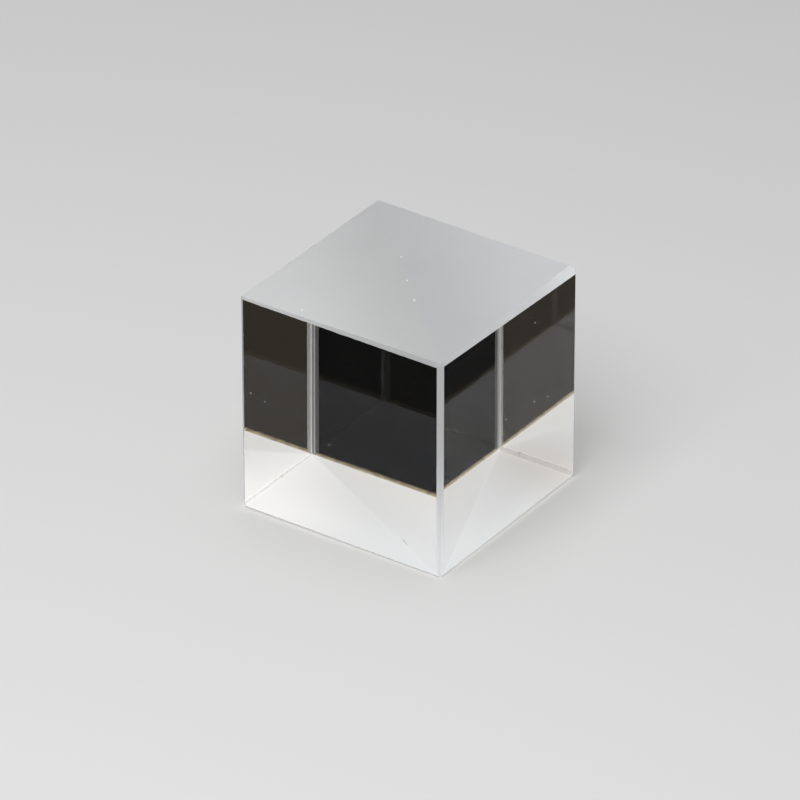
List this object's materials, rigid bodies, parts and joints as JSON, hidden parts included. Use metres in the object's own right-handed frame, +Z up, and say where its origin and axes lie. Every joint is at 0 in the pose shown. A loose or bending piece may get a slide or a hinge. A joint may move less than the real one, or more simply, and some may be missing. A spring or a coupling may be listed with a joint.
{
  "type": "beamsplitter cube",
  "caption": "Cemented glass prism cube with a diagonal splitter coating, polished optical sides and fine-ground ends, for dividing or combining light beams.",
  "frame": {"origin": "centre of the ground base, on the plane that the cube stands on", "axes": "+Z up through the ground top; the polished sides face +X, -X, +Y and -Y; the cemented joint stands on the vertical plane through the (-X, +Y) and (+X, -Y) edges"},
  "size_m": [0.0126, 0.0126, 0.0127],
  "materials": {
    "prism_glass": "colourless crown glass; four polished sides, fine-ground white ends and bevels",
    "splitter_coating": "half-transparent neutral thin-film coating, sealed in the joint",
    "optical_cement": "clear cured optical cement"
  },
  "bodies": {
    "root": {"coated_prism": "prism_glass", "plain_prism": "prism_glass", "splitter_coating": "splitter_coating", "cement_layer": "optical_cement"}
  },
  "joints": []
}
